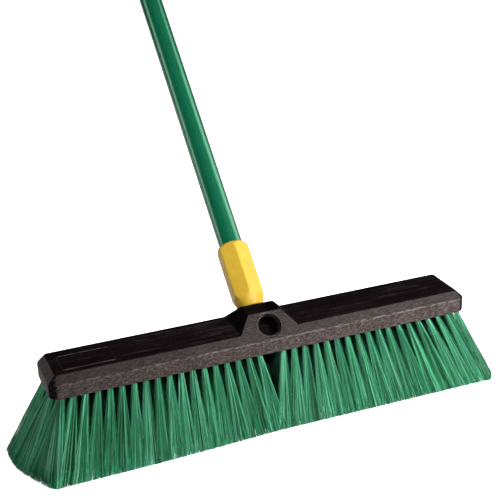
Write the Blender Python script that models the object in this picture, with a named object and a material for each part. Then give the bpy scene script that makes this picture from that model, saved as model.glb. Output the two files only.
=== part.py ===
"""Push broom, 18 inch head, screw-in tube handle.

Frame: +Z up, +X along the block, -Y the front (the empty socket's side), +Y the side the
handle leans to. The origin is on the floor, under the middle of the bristle roots.

The handle's parts and the socket cutters are modelled along Z with the socket mouth at zero,
then stood on a socket's axis. Their heights are stations along that axis, up the handle.
"""

import math

import bmesh
import bpy
from mathutils import Matrix, Vector

# ---------------------------------------------------------------- shared dimensions (metres)
INCH = 0.0254
GAP = 0.0003                 # clearance between neighbouring pieces
WELD = 0.000002              # points closer than this are merged after a Boolean
TRIM = 0.088                 # free bristle length, floor to the block's underside

# ---------------------------------------------------------------- block dimensions
BLOCK_L = 0.460              # block length (18 in class)
BLOCK_X = -0.0010            # its centre along X
BLOCK_D = 0.0645             # block depth
SIDE_H = 0.0149              # height of the block's upright side
BLOCK_H = 0.0231             # height of the block's flat top
TOP_D = 0.04905              # depth of the flat top
END_INSET = 0.0085           # how far the ends slope in
CORNER_R = 0.0110            # plan radius of the upright corners
TOP_CORNER_R = 0.0022        # plan radius of the corners of the flat top
CORNER_STEPS = 6
UNDER_BEVEL = 0.0006         # bevel around the underside
BAND_RUN = (BLOCK_D - TOP_D) / 2 / (BLOCK_H - SIDE_H)   # sloped band: depth lost per height

BOSS_H = 0.0379              # height of the socket boss above the underside
BOSS_TOP_HALF_X = 0.0180     # half width of the boss at its top
BOSS_FOOT_HALF_X = 0.0319    # half width of the boss where it meets the flat top

PANEL_HALF = (0.0268, 0.0152)  # half size of the plain panel outline on the flat top
PANEL_AT = (-0.1870, -0.0030)  # its centre
PANEL_LINE = 0.0009          # width of the outline's raised line
PANEL_RISE = 0.0004          # height of the outline's raised line
PANEL_SINK = 0.0010          # how far the outline's bar reaches into the block

# ---------------------------------------------------------------- socket dimensions
MOUTH_Y = 0.0212             # socket mouth centre, either side of the block's centre line
MOUTH_H = SIDE_H + (BLOCK_D / 2 - MOUTH_Y) / BAND_RUN    # its height, on the band's plane
REAR_MOUTH_X = -0.0010       # the rear socket stands a little off the front one's line
LEAN = math.atan(1 / BAND_RUN)  # socket and handle axis, measured from vertical: 46.7 degrees
MOUTH_R = 0.0139             # chamfer radius at the socket face
CHAMFER = 0.0011             # depth of the 45 degree chamfer
MOUTH_OVERRUN = 0.003        # how far the chamfer's cutter reaches out of the mouth
SOCKET_DEPTH = 0.0145        # socket mouth to socket floor, along the axis
BAR_TOP = 0.012              # top of the threaded cutter before it is trimmed
BAR_TRIM_TOP = 0.010         # and after
BAR_TRIM_R = 0.02

# ---------------------------------------------------------------- screw dimensions
PITCH = INCH / 5             # screw lead, five turns to the inch
TURN_STEPS = 24              # segments in one turn of the screw
FLANK = 0.00048              # axial width of one thread flank
SCREW_END = 0.0005           # how far a screw body's end points stand off its thread
THREAD_CLEARANCE = 0.00035   # radial, between stem and socket
SOCKET_MAJOR_R = 0.01265
SOCKET_MINOR_R = 0.01080
SOCKET_CREST = 0.00220       # axial width of the groove at its deepest
STEM_MAJOR_R = SOCKET_MAJOR_R - THREAD_CLEARANCE
STEM_MINOR_R = SOCKET_MINOR_R - THREAD_CLEARANCE
STEM_CREST = 0.00160         # axial width of the stem's thread at its crest

# ---------------------------------------------------------------- handle dimensions
CUT_OVER = 0.002             # how far cutters and blanks reach past a finished end

STEM_TIP = -0.0140
THREAD_TOP = -0.0006         # over two and a half turns of thread below this
NECK_R = 0.0113
SPIGOT_R = 0.01165           # stem inside the tube
SPIGOT_TOP = 0.0480
SPIGOT_CHAMFER = 0.001
CORE_R = 0.0030              # steel core pin
CORE_LOW = -0.0105
CORE_TOP = 0.0470
CORE_CHAMFER = 0.0006

COLLAR_LOW = 0.0012          # collar's lower face
COLLAR_TOP = 0.0755          # collar's upper face
COLLAR_FLOOR = 0.0085        # top of the collar's lower wall
COLLAR_FLAT_R = 0.01600      # collar centre to flat
COLLAR_EDGE_R = 0.0028       # rounding of the collar's long edges
COLLAR_EDGE_STEPS = 3        # segments in one rounded edge
COLLAR_TURN = math.radians(-35.5)  # angle of one long edge about the axis

TUBE_R = INCH / 2            # one inch tube
TUBE_WALL = 0.0007
TUBE_INNER_R = TUBE_R - TUBE_WALL
TUBE_LOW = COLLAR_FLOOR + GAP
TUBE_TOP = 1.4920
TUBE_STEPS = 48
LIP_IN = 0.00015             # the tube's outer lips are broken by this much inward
LIP_BACK = 0.0003            # and this much along the axis

HANDLE_L = 60 * INCH         # stem tip to cap tip
CAP_LOW = 1.4710             # lower lip of the hanger cap
CAP_TOP = STEM_TIP + HANDLE_L
CAP_R = 0.0144
CAP_PLUG_LOW = 1.4770
CAP_FLAT_X = 0.0092          # half thickness of the cap between its two flats
CAP_FLAT_SIZE = (0.02, 0.04, 0.0260)  # size of the box that cuts one flat
CAP_FLAT_DROP = 0.0035       # centre of that box, below the cap's tip
HANG_HOLE_R = 0.0035
HANG_HOLE_AT = 1.5010
HANG_HOLE_REACH = 0.02       # half length of the hole's cutter

# how far turned bodies have their facets rotated, as a share of one facet
TRIM_PHASE = 0.37            # trimming bodies, socket chamfer and hang hole
BODY_PHASE = 0.19            # collar bore, stem neck and spigot, hanger cap
CORE_PHASE = 0.29            # core pin and its bore

# ---------------------------------------------------------------- bristle dimensions
ROWS = 5
ROW_PITCH = 0.0135           # between rows, at the block
TIP_ROW_PITCH = 0.0174       # between rows, at the floor
TUFT_PITCH = 0.0121          # between tufts in a row
FIRST_TUFT = 0.0135          # the tuft next to the centre gap
PER_SIDE = 18                # tufts on each side of the gap in rows 1, 3 and 5
GROUP = 6                    # tufts in one group
HOLE_R = 0.0032
HOLE_DEPTH = 0.0120
HOLE_OVERRUN = 0.003         # how far a hole's cutter reaches below the block
ROOT_R = 0.00285
ROOT_TAPER_END = 0.004       # the tufts reach their root radius this far below the block
SKIRT_H = 0.0500             # below this height the tufts have merged
TUFT_R = 0.0045              # tuft radius at that height
TUFT_SINK = 0.0015           # how far the tufts reach into the skirt
END_FLARE = 0.0050           # half width of the last tuft at the floor, along the block

# tip swing toward +X, as (root's distance from the centre, swing at the floor), ends outward
SWING_LEFT = ((0.0135, 0.0150), (0.0260, 0.0145), (0.0740, 0.0020), (0.1560, -0.0090),
              (0.1920, -0.0180), (0.2192, -0.0240))
SWING_RIGHT = ((0.0135, -0.0030), (0.0367, 0.0010), (0.0610, 0.0110), (0.1330, 0.0250),
               (0.1690, 0.0340), (0.1930, 0.0420), (0.2192, 0.0440))
# further swing toward -X at the left end of the back row, fading to nothing at the front row
BACK_SWING = 0.0230
BACK_SWING_FROM = 0.120      # distance from the centre where it starts
BACK_SWING_RUN = 0.100       # distance over which it reaches its full value


# ---------------------------------------------------------------- scene helpers
def clear_scene():
    for obj in list(bpy.data.objects):
        bpy.data.objects.remove(obj, do_unlink=True)


def material(name, colour, roughness, metallic=0.0):
    mat = bpy.data.materials.new(name)
    mat.use_nodes = True
    shader = mat.node_tree.nodes["Principled BSDF"]
    shader.inputs["Base Color"].default_value = (*colour, 1.0)
    shader.inputs["Roughness"].default_value = roughness
    shader.inputs["Metallic"].default_value = metallic
    mat.diffuse_color = (*colour, 1.0)
    return mat


def shade(mesh, sharp_deg):
    """Smooth shading, with edges steeper than sharp_deg kept sharp."""
    mesh.shade_smooth()
    mesh.set_sharp_from_angle(angle=math.radians(sharp_deg))


def new_object(name, shape, mat=None, sharp_deg=None):
    """Closes a bmesh into an object, with its faces turned outward."""
    bmesh.ops.recalc_face_normals(shape, faces=shape.faces)
    mesh = bpy.data.meshes.new(name)
    shape.to_mesh(mesh)
    shape.free()
    obj = bpy.data.objects.new(name, mesh)
    bpy.context.scene.collection.objects.link(obj)
    if mat:
        mesh.materials.append(mat)
    if sharp_deg:
        shade(mesh, sharp_deg)
    return obj


def combine(target, other, operation):
    """Applies one exact Boolean to target and drops the other object."""
    mod = target.modifiers.new("boolean", "BOOLEAN")
    mod.operation = operation
    mod.solver = "EXACT"
    mod.object = other
    graph = bpy.context.evaluated_depsgraph_get()
    graph.update()
    mesh = bpy.data.meshes.new_from_object(target.evaluated_get(graph))
    target.modifiers.remove(mod)
    old = target.data
    target.data = mesh
    mesh.name = target.name
    bpy.data.meshes.remove(old)
    bpy.data.objects.remove(other, do_unlink=True)


def tidy(obj):
    """Welds the Boolean's duplicate points and triangulates all larger faces."""
    shape = bmesh.new()
    shape.from_mesh(obj.data)
    bmesh.ops.remove_doubles(shape, verts=shape.verts, dist=WELD)
    bmesh.ops.dissolve_degenerate(shape, edges=shape.edges, dist=WELD)
    bmesh.ops.triangulate(shape, faces=[f for f in shape.faces if len(f.verts) > 3])
    shape.to_mesh(obj.data)
    shape.free()


def finish(obj, mat, sharp_deg=None):
    """Tidies a piece after its last Boolean and leaves it one material."""
    tidy(obj)
    if sharp_deg:
        shade(obj.data, sharp_deg)
    obj.data.materials.clear()
    obj.data.materials.append(mat)
    return obj


def socket_frame(side):
    """Places Z on a socket's axis, zero at its mouth: side 1 the rear, -1 the front."""
    mouth_x = REAR_MOUTH_X if side > 0 else 0.0
    mouth = Vector((mouth_x, side * MOUTH_Y, TRIM + MOUTH_H))
    return Matrix.Translation(mouth) @ Matrix.Rotation(-side * LEAN, 4, "X")


# ---------------------------------------------------------------- shape helpers
def add_ring(shape, points):
    return [shape.verts.new(p) for p in points]


def add_walls(shape, lower, upper, skipped=()):
    """Quads between two rings of equal size, leaving out those that start at skipped."""
    count = len(lower)
    for i in range(count):
        if i not in skipped:
            j = (i + 1) % count
            shape.faces.new((lower[i], lower[j], upper[j], upper[i]))


def add_skin(shape, rings):
    """A closed skin through rings of equal size, its first and last rings filled."""
    loops = [add_ring(shape, ring) for ring in rings]
    for lower, upper in zip(loops, loops[1:]):
        add_walls(shape, lower, upper)
    shape.faces.new(list(reversed(loops[0])))
    shape.faces.new(loops[-1])


def rounded_rect(half_x, half_y, radius, z):
    """Corner by corner outline of a rounded rectangle, counter-clockwise from +X."""
    points = []
    for k, (sign_x, sign_y) in enumerate(((1, 1), (-1, 1), (-1, -1), (1, -1))):
        for i in range(CORNER_STEPS + 1):
            angle = math.radians(90 * k + 90 * i / CORNER_STEPS)
            points.append(Vector((sign_x * (half_x - radius) + radius * math.cos(angle),
                                  sign_y * (half_y - radius) + radius * math.sin(angle), z)))
    return points


def hexagon(centre, radius):
    return [centre + Vector((radius * math.cos(math.radians(30 + 60 * k)),
                             radius * math.sin(math.radians(30 + 60 * k)), 0.0))
            for k in range(6)]


def rod(radius, low, high):
    """Profile of a plain cylinder, for lathe."""
    return ((0.0, low), (radius, low), (radius, high), (0.0, high))


def lathe(profile, steps, phase=0.0):
    """Turns (radius, height) points about Z. A closed profile makes a ring, an open one starts
    and ends on the axis. phase turns the facets, as a share of one facet."""
    shape = bmesh.new()
    columns = []
    for radius, z in profile:
        if radius <= 0:
            columns.append([shape.verts.new((0.0, 0.0, z))])
        else:
            angles = [2 * math.pi * (k + phase) / steps for k in range(steps)]
            columns.append([shape.verts.new((radius * math.cos(a), radius * math.sin(a), z))
                            for a in angles])
    pairs = list(zip(columns, columns[1:]))
    if profile[0][0] > 0:
        pairs.append((columns[-1], columns[0]))
    for here, there in pairs:
        for k in range(steps):
            m = (k + 1) % steps
            if len(here) == 1:
                shape.faces.new((here[0], there[k], there[m]))
            elif len(there) == 1:
                shape.faces.new((here[k], here[m], there[0]))
            else:
                shape.faces.new((here[k], here[m], there[m], there[k]))
    return shape


def screw_body(major, minor, crest, low, high):
    """A threaded bar along Z that reaches past low and high: a helical strip of one profile
    per pitch, closed at each end onto the axis."""
    root = PITCH - crest - 2 * FLANK
    # (radius, height within one pitch)
    profile = ((minor, 0.0), (minor, root), (major, root + FLANK), (major, root + FLANK + crest))
    turns = math.ceil((high - low) / PITCH) + 3
    start = (math.floor(low / PITCH) - 1) * PITCH
    count = turns * TURN_STEPS
    shape = bmesh.new()
    grid = []
    for j in range(count + 1):
        angle = 2 * math.pi * (j % TURN_STEPS) / TURN_STEPS
        lift = start + PITCH * j / TURN_STEPS
        grid.append([shape.verts.new((r * math.cos(angle), r * math.sin(angle), lift + z))
                     for r, z in profile])
    for j in range(count):
        here, after = grid[j], grid[j + 1]
        for i in range(len(profile) - 1):
            shape.faces.new((here[i], after[i], after[i + 1], here[i + 1]))
        # the last flank runs on to the next turn's root
        if j + TURN_STEPS < count:
            above, above_after = grid[j + TURN_STEPS], grid[j + TURN_STEPS + 1]
            shape.faces.new((here[-1], after[-1], above_after[0], above[0]))
    open_edges = [edge for edge in shape.edges if edge.is_boundary]
    middle = start + 0.5 * PITCH * count / TURN_STEPS
    bottom = shape.verts.new((0.0, 0.0, start - SCREW_END))
    top = shape.verts.new((0.0, 0.0, start + PITCH * (count / TURN_STEPS + 1) + SCREW_END))
    for edge in open_edges:
        height = sum((v.co.z for v in edge.verts), 0.0) / 2
        tip = bottom if height < middle else top
        shape.faces.new((edge.verts[0], edge.verts[1], tip))
    return shape


# ---------------------------------------------------------------- tuft layout
def swing(table, distance):
    """Straight-line reading of a swing table, level beyond its ends."""
    if distance <= table[0][0]:
        return table[0][1]
    for (x0, swing0), (x1, swing1) in zip(table, table[1:]):
        if distance <= x1:
            return swing0 + (swing1 - swing0) * (distance - x0) / (x1 - x0)
    return table[-1][1]


def tuft_roots(row):
    """Root stations on one side of the gap, nearest first. Every other row is staggered by
    half a pitch and has one tuft fewer."""
    first = FIRST_TUFT if row % 2 == 0 else FIRST_TUFT + TUFT_PITCH / 2
    count = PER_SIDE if row % 2 == 0 else PER_SIDE - 1
    return [first + TUFT_PITCH * i for i in range(count)]


def row_y(row, pitch):
    """Row 0 is the front row."""
    return (row - (ROWS - 1) / 2) * pitch


def tip_of(row, x):
    """Where the tuft rooted at (row, x) meets the floor."""
    y = row_y(row, TIP_ROW_PITCH)
    if x < 0:
        back = row / (ROWS - 1)
        outward = max(0.0, (-x - BACK_SWING_FROM) / BACK_SWING_RUN)
        return Vector((x + swing(SWING_LEFT, -x) - BACK_SWING * back * outward, y, 0.0))
    return Vector((x + swing(SWING_RIGHT, x), y, 0.0))


def at_height(row, x, z):
    """The centre line of the tuft rooted at (row, x), at height z."""
    root = Vector((x, row_y(row, ROW_PITCH), TRIM))
    return root.lerp(tip_of(row, x), (TRIM - z) / TRIM)


# ---------------------------------------------------------------- block
def block_body():
    """The block with its boss, as one skin: underside, upright sides, sloped bands, flat top.
    The boss's front and rear faces lie in the planes of the sloped bands."""
    half_x, half_y = BLOCK_L / 2, BLOCK_D / 2
    top_y = TOP_D / 2
    boss_y = half_y - BAND_RUN * (BOSS_H - SIDE_H)
    rings = [
        rounded_rect(half_x - UNDER_BEVEL, half_y - UNDER_BEVEL, CORNER_R - UNDER_BEVEL, TRIM),
        rounded_rect(half_x, half_y, CORNER_R, TRIM + UNDER_BEVEL),
        rounded_rect(half_x, half_y, CORNER_R, TRIM + SIDE_H),
        rounded_rect(half_x - END_INSET, top_y, TOP_CORNER_R, TRIM + BLOCK_H),
    ]
    shift = Vector((BLOCK_X, 0.0, 0.0))
    shape = bmesh.new()
    base, bevel, ridge, top = [add_ring(shape, [p + shift for p in ring]) for ring in rings]
    per_corner = CORNER_STEPS + 1
    front = 3 * per_corner - 1      # last point of the left front corner
    back = per_corner - 1           # last point of the right back corner
    add_walls(shape, base, bevel)
    add_walls(shape, bevel, ridge)
    add_walls(shape, ridge, top, skipped=(front, back))
    shape.faces.new(list(reversed(base)))

    def boss_corners(half_width, y, z):
        return {(sx, sy): shape.verts.new((sx * half_width, sy * y, z))
                for sx in (-1, 1) for sy in (-1, 1)}

    foot = boss_corners(BOSS_FOOT_HALF_X, top_y, TRIM + BLOCK_H)
    peak = boss_corners(BOSS_TOP_HALF_X, boss_y, TRIM + BOSS_H)
    # each long band is one face with the boss's face on that side
    for start, side in ((front, -1), (back, 1)):
        near, far = -side, side     # X signs of the boss corners, in the ring's direction
        shape.faces.new((ridge[start], ridge[start + 1], top[start + 1],
                         foot[near, side], peak[near, side],
                         peak[far, side], foot[far, side], top[start]))
    # flat top, left and right of the boss
    left = top[per_corner:3 * per_corner]
    right = top[3 * per_corner:] + top[:per_corner]
    shape.faces.new(left + [foot[-1, -1], foot[-1, 1]])
    shape.faces.new(right + [foot[1, 1], foot[1, -1]])
    # ends and top of the boss
    for sx in (-1, 1):
        shape.faces.new((foot[sx, -1], foot[sx, 1], peak[sx, 1], peak[sx, -1]))
    shape.faces.new((peak[-1, -1], peak[1, -1], peak[1, 1], peak[-1, 1]))
    return shape


def panel_outline():
    """The raised outline of the plain panel near the left end, as one ring-shaped bar."""
    shape = bmesh.new()
    loops = []
    for z in (TRIM + BLOCK_H - PANEL_SINK, TRIM + BLOCK_H + PANEL_RISE):
        for inset in (0.0, PANEL_LINE):
            half_x, half_y = PANEL_HALF[0] - inset, PANEL_HALF[1] - inset
            loops.append(add_ring(shape, [
                (PANEL_AT[0] + sx * half_x, PANEL_AT[1] + sy * half_y, z)
                for sx, sy in ((-1, -1), (1, -1), (1, 1), (-1, 1))]))
    low_out, low_in, high_out, high_in = loops
    add_walls(shape, low_out, high_out)
    add_walls(shape, high_out, high_in)
    add_walls(shape, high_in, low_in)
    add_walls(shape, low_in, low_out)
    return shape


def socket_cutter(side):
    """Threaded bore with a flat floor and a chamfered mouth."""
    bar = new_object("bar", screw_body(SOCKET_MAJOR_R, SOCKET_MINOR_R, SOCKET_CREST,
                                       -SOCKET_DEPTH, BAR_TOP))
    trim = rod(BAR_TRIM_R, -SOCKET_DEPTH, BAR_TRIM_TOP)
    combine(bar, new_object("trim", lathe(trim, 24, TRIM_PHASE)), "INTERSECT")
    tidy(bar)
    mouth = ((0.0, -CHAMFER), (MOUTH_R - CHAMFER, -CHAMFER),
             (MOUTH_R + MOUTH_OVERRUN, MOUTH_OVERRUN), (0.0, MOUTH_OVERRUN))
    combine(bar, new_object("mouth", lathe(mouth, 40, TRIM_PHASE)), "UNION")
    tidy(bar)
    bar.data.transform(socket_frame(side))
    return bar


def hole_cutters():
    """All the blind tuft holes, each one following its tuft's own lean."""
    shape = bmesh.new()
    for row in range(ROWS):
        for side in (-1, 1):
            for x in tuft_roots(row):
                add_skin(shape, [hexagon(at_height(row, side * x, z), HOLE_R)
                                 for z in (TRIM - HOLE_OVERRUN, TRIM + HOLE_DEPTH)])
    return shape


def make_block(mat):
    block = new_object("brush_block", block_body())
    combine(block, new_object("outline", panel_outline()), "UNION")
    for side in (-1, 1):
        combine(block, socket_cutter(side), "DIFFERENCE")
    combine(block, new_object("holes", hole_cutters()), "DIFFERENCE")
    finish(block, mat, 32)


# ---------------------------------------------------------------- bristles
def skirt_ring(row, stations, before, after, z):
    """Rectangle around a group's merged tufts at height z."""
    share = (TRIM - z) / TRIM
    half_y = ROOT_R + (TIP_ROW_PITCH / 2 - GAP - ROOT_R) * share
    half_end = ROOT_R + (END_FLARE - ROOT_R) * share
    ends = []
    for station, neighbour, way in ((stations[0], before, -1), (stations[-1], after, 1)):
        x = at_height(row, station, z).x
        if neighbour is None:
            ends.append(x + way * half_end)
        else:
            ends.append((x + at_height(row, neighbour, z).x) / 2 - way * GAP)
    y = at_height(row, stations[0], z).y
    left, right = ends
    return [Vector((left, y - half_y, z)), Vector((right, y - half_y, z)),
            Vector((right, y + half_y, z)), Vector((left, y + half_y, z))]


def bristle_group(name, row, stations, before, after, mat):
    """Neighbouring tufts of one row: separate tapered roots that merge into one skirt.
    before and after are the stations next to the group, None at the row's ends."""
    skirt_shape = bmesh.new()
    add_skin(skirt_shape, [skirt_ring(row, stations, before, after, z) for z in (0.0, SKIRT_H)])
    skirt = new_object(name, skirt_shape)
    # (height, tuft radius)
    levels = ((SKIRT_H - TUFT_SINK, TUFT_R), (SKIRT_H, TUFT_R), (TRIM - ROOT_TAPER_END, ROOT_R),
              (TRIM + HOLE_DEPTH - GAP, ROOT_R))
    tufts = bmesh.new()
    for station in stations:
        add_skin(tufts, [hexagon(at_height(row, station, z), r) for z, r in levels])
    combine(skirt, new_object("tufts", tufts), "UNION")
    finish(skirt, mat)


def make_bristles(mat):
    """Five rows, each in six groups: a, b and c left of the centre, d, e and f right of it."""
    for row in range(ROWS):
        right = tuft_roots(row)
        line = [-x for x in reversed(right)] + right
        # groups are counted out from the gap, so the end group holds what is left over
        sizes = [len(right[i:i + GROUP]) for i in range(0, len(right), GROUP)]
        start = 0
        for letter, size in zip("abcdef", sizes[::-1] + sizes):
            end = start + size
            before = line[start - 1] if start > 0 else None
            after = line[end] if end < len(line) else None
            bristle_group(f"bristles_row{row + 1}_{letter}", row, line[start:end],
                          before, after, mat)
            start = end


# ---------------------------------------------------------------- handle
def collar_outline():
    """Hexagon whose long edges are arcs tangent to the two flats beside them."""
    centre_r = (COLLAR_FLAT_R - COLLAR_EDGE_R) / math.cos(math.radians(30))
    outline = []
    for k in range(6):
        middle = COLLAR_TURN + math.radians(60 * k)
        centre = Vector((centre_r * math.cos(middle), centre_r * math.sin(middle), 0.0))
        for i in range(COLLAR_EDGE_STEPS + 1):
            angle = middle + math.radians(-30 + 60 * i / COLLAR_EDGE_STEPS)
            outline.append(centre + Vector((COLLAR_EDGE_R * math.cos(angle),
                                            COLLAR_EDGE_R * math.sin(angle), 0.0)))
    return outline


def make_collar(mat):
    """Hexagonal ferrule: rounded long edges, both ends turned down, bored for the tube."""
    blank = bmesh.new()
    add_skin(blank, [[p + Vector((0, 0, z)) for p in collar_outline()]
                     for z in (COLLAR_LOW - CUT_OVER, COLLAR_TOP + CUT_OVER)])
    collar = new_object("hex_collar", blank)
    corner = COLLAR_FLAT_R / math.cos(math.radians(30))  # centre to unrounded corner
    turned = (
        (0.0, COLLAR_LOW),
        (0.0124, COLLAR_LOW),
        (0.0131, COLLAR_LOW + 0.0006),
        (corner + 0.0002, COLLAR_LOW + 0.0163),
        (corner + 0.0002, COLLAR_TOP - 0.0068),
        (corner - 0.0012, COLLAR_TOP - 0.0032),
        (corner - 0.0030, COLLAR_TOP - 0.0008),
        (corner - 0.0044, COLLAR_TOP),
        (0.0, COLLAR_TOP),
    )
    combine(collar, new_object("turned", lathe(turned, 40, TRIM_PHASE)), "INTERSECT")
    tidy(collar)
    bore = (
        (0.0, COLLAR_LOW - CUT_OVER),
        (NECK_R + GAP, COLLAR_LOW - CUT_OVER),
        (NECK_R + GAP, COLLAR_FLOOR),
        (TUBE_R + GAP, COLLAR_FLOOR),
        (TUBE_R + GAP, COLLAR_TOP + CUT_OVER),
        (0.0, COLLAR_TOP + CUT_OVER),
    )
    combine(collar, new_object("bore", lathe(bore, 32, BODY_PHASE)), "DIFFERENCE")
    return finish(collar, mat, 24)


def make_stem(mat):
    """Threaded stem: the screw, plain neck, spigot inside the tube, blind core bore."""
    stem = new_object("threaded_stem", screw_body(STEM_MAJOR_R, STEM_MINOR_R, STEM_CREST,
                                                  STEM_TIP, THREAD_TOP + CUT_OVER))
    # the groove's crest band is centred on the stem's, so the flanks stand clear on both sides
    stem.data.transform(Matrix.Translation((0, 0, -(SOCKET_CREST - STEM_CREST) / 2)))
    trim_r = STEM_MAJOR_R + 0.0006
    trim = (
        (0.0, STEM_TIP),
        (STEM_MINOR_R - 0.0004, STEM_TIP),
        (trim_r, STEM_TIP + 0.0022),
        (trim_r, THREAD_TOP),
        (0.0, THREAD_TOP),
    )
    combine(stem, new_object("trim", lathe(trim, 36, TRIM_PHASE)), "INTERSECT")
    tidy(stem)
    buried_r = STEM_MINOR_R - 0.0005    # the neck's foot, inside the thread
    upper = (
        (0.0, THREAD_TOP - 0.0020),
        (buried_r, THREAD_TOP - 0.0020),
        (buried_r, THREAD_TOP - 0.0004),
        (NECK_R, THREAD_TOP + 0.0004),
        (NECK_R, COLLAR_FLOOR + GAP),
        (SPIGOT_R, COLLAR_FLOOR + GAP),
        (SPIGOT_R, SPIGOT_TOP - SPIGOT_CHAMFER),
        (SPIGOT_R - SPIGOT_CHAMFER, SPIGOT_TOP),
        (0.0, SPIGOT_TOP),
    )
    combine(stem, new_object("upper", lathe(upper, 32, BODY_PHASE)), "UNION")
    tidy(stem)
    bore = rod(CORE_R + GAP, CORE_LOW - GAP, SPIGOT_TOP + CUT_OVER)
    combine(stem, new_object("bore", lathe(bore, 20, CORE_PHASE)), "DIFFERENCE")
    return finish(stem, mat, 32)


def make_core(mat):
    """Steel pin inside the stem, chamfered at both ends."""
    pin = (
        (0.0, CORE_LOW),
        (CORE_R - CORE_CHAMFER, CORE_LOW),
        (CORE_R, CORE_LOW + CORE_CHAMFER),
        (CORE_R, CORE_TOP - CORE_CHAMFER),
        (CORE_R - CORE_CHAMFER, CORE_TOP),
        (0.0, CORE_TOP),
    )
    return new_object("stem_core", lathe(pin, 20, CORE_PHASE), mat, 32)


def make_tube(mat):
    """Open-ended tube, both outer lips slightly broken."""
    wall = (
        (TUBE_R - LIP_IN, TUBE_LOW),
        (TUBE_R, TUBE_LOW + LIP_BACK),
        (TUBE_R, TUBE_TOP - LIP_BACK),
        (TUBE_R - LIP_IN, TUBE_TOP),
        (TUBE_INNER_R, TUBE_TOP),
        (TUBE_INNER_R, TUBE_LOW),
    )
    return new_object("handle_tube", lathe(wall, TUBE_STEPS), mat, 32)


def make_cap(mat):
    """Hanger cap: a skirt over the tube, a plug inside it, a domed tip and a cross hole between
    two flats."""
    plug_r = TUBE_INNER_R - GAP
    skirt_r = TUBE_R + GAP
    profile = (
        (0.0, CAP_PLUG_LOW),
        (plug_r, CAP_PLUG_LOW),
        (plug_r, TUBE_TOP + GAP),
        (skirt_r, TUBE_TOP + GAP),
        (skirt_r, CAP_LOW),
        (CAP_R - 0.0005, CAP_LOW),
        (CAP_R, CAP_LOW + 0.0008),
        (CAP_R, CAP_TOP - 0.0110),
        (CAP_R - 0.0018, CAP_TOP - 0.0055),
        (CAP_R - 0.0054, CAP_TOP - 0.0014),
        (0.0, CAP_TOP),
    )
    cap = new_object("hanger_cap", lathe(profile, 32, BODY_PHASE))
    # flats at both ends of the hang hole
    for side in (-1, 1):
        centre = (side * (CAP_FLAT_X + CAP_FLAT_SIZE[0] / 2), 0, CAP_TOP - CAP_FLAT_DROP)
        box = bmesh.new()
        bmesh.ops.create_cube(box, size=1.0)
        box.transform(Matrix.Translation(centre) @ Matrix.Diagonal((*CAP_FLAT_SIZE, 1.0)))
        combine(cap, new_object("flat", box), "DIFFERENCE")
    hole_profile = rod(HANG_HOLE_R, -HANG_HOLE_REACH, HANG_HOLE_REACH)
    hole = new_object("hole", lathe(hole_profile, 20, TRIM_PHASE))
    hole.data.transform(Matrix.Translation((0, 0, HANG_HOLE_AT))
                        @ Matrix.Rotation(math.radians(90), 4, "Y"))
    combine(cap, hole, "DIFFERENCE")
    return finish(cap, mat, 32)


def make_screw_axis():
    """Empty on the rear socket's axis, the parent of everything that unscrews."""
    axis = bpy.data.objects.new("screw_axis", None)
    bpy.context.scene.collection.objects.link(axis)
    axis.matrix_world = socket_frame(1)
    bpy.context.view_layer.update()
    return axis


def seat(obj, axis):
    """Parents a handle part to the screw axis and stands it on that axis. The parent inverse
    keeps the part's own transform in world terms."""
    obj.parent = axis
    obj.matrix_parent_inverse = axis.matrix_world.inverted()
    obj.matrix_world = axis.matrix_world.copy()


# ---------------------------------------------------------------- assembly
def main():
    clear_scene()
    black = material("block_black", colour=(0.020, 0.016, 0.016), roughness=0.55)
    fibre = material("bristle_green", colour=(0.030, 0.260, 0.125), roughness=0.60)
    enamel = material("tube_green", colour=(0.004, 0.150, 0.066), roughness=0.22, metallic=0.1)
    yellow = material("collar_yellow", colour=(0.780, 0.500, 0.055), roughness=0.45)
    plastic = material("stem_yellow", colour=(0.700, 0.440, 0.045), roughness=0.50)
    steel = material("core_steel", colour=(0.550, 0.560, 0.580), roughness=0.35, metallic=1.0)
    dark = material("cap_green", colour=(0.006, 0.110, 0.050), roughness=0.40)

    make_block(black)
    make_bristles(fibre)
    axis = make_screw_axis()
    for part in (make_stem(plastic), make_core(steel), make_collar(yellow), make_tube(enamel),
                 make_cap(dark)):
        seat(part, axis)
    bpy.context.view_layer.update()


main()
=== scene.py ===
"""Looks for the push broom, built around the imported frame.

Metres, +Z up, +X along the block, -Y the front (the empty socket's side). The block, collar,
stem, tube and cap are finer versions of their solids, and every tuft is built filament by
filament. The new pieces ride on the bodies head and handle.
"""

import math

import bmesh
import bpy
import numpy as np
from mathutils import Matrix, Vector


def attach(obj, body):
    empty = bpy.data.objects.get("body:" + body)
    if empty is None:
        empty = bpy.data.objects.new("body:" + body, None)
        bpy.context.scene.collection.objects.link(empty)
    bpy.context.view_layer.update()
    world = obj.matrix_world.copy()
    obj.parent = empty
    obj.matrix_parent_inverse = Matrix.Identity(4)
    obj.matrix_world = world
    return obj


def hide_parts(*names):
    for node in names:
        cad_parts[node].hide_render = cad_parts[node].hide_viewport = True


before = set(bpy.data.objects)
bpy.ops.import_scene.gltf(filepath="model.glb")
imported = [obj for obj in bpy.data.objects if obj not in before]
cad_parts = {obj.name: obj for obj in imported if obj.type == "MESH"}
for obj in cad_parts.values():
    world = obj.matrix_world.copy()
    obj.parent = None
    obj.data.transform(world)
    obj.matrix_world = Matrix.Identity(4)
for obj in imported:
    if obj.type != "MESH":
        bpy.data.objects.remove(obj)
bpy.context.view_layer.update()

# ---------------------------------------------------------------- dimensions (metres)
GAP = 0.0003
TRIM = 0.088
BLOCK_L, BLOCK_D, SIDE_H, BLOCK_H, TOP_D = 0.460, 0.0645, 0.0149, 0.0231, 0.04905
BLOCK_X = -0.0010
END_INSET, CORNER_R, TOP_CORNER_R = 0.0085, 0.0110, 0.0022
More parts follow.
